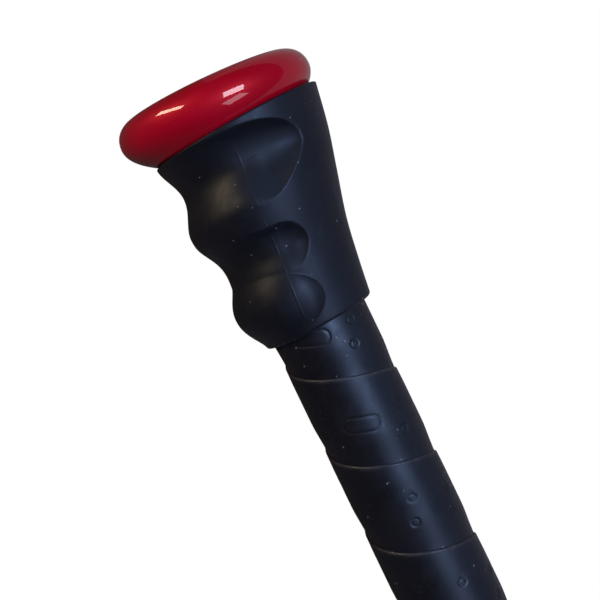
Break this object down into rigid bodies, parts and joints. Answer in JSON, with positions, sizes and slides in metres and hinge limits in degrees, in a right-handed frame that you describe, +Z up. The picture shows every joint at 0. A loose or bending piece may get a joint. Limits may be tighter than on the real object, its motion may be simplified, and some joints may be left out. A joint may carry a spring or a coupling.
{
  "type": "weighted swing trainer bat stick",
  "caption": "Slim hollow bat-type swing trainer with a round knob, spiral grip tape, a slip-on rubber finger sleeve and a weight inside the barrel.",
  "frame": {"origin": "centre of the knob's flat end face, on the stick's axis", "axes": "+X along the stick's axis from the knob's face to the barrel's tip; +Z up with the stick lying down; the finger grooves face -Y and the sleeve's smooth back faces +Y"},
  "size_m": [0.787, 0.0512, 0.0512],
  "materials": {
    "red_paint": "deep candy red gloss clear coat over aluminium",
    "black_plastic": "moulded satin black",
    "grip_tape": "stamped polymer grip strip, soft sheen",
    "black_rubber": "moulded rubber, matt with a soft sheen",
    "grey_foam": "closed-cell rubber foam",
    "bare_steel": "turned bare steel"
  },
  "bodies": {
    "stick": {"stick_tube": "red_paint", "knob": "red_paint", "knob_plug": "black_plastic", "grip_tape": "grip_tape", "grip_end_band": "black_rubber", "weight_stop": "grey_foam", "barrel_weight": "bare_steel", "weight_pad": "grey_foam", "end_cap": "black_plastic"},
    "sleeve": {"finger_sleeve": "black_rubber"}
  },
  "joints": [
    {"name": "sleeve_slide", "type": "slide", "parent": "stick", "child": "sleeve", "axis": [1, 0, 0], "range_m": [0, 0.235]}
  ]
}
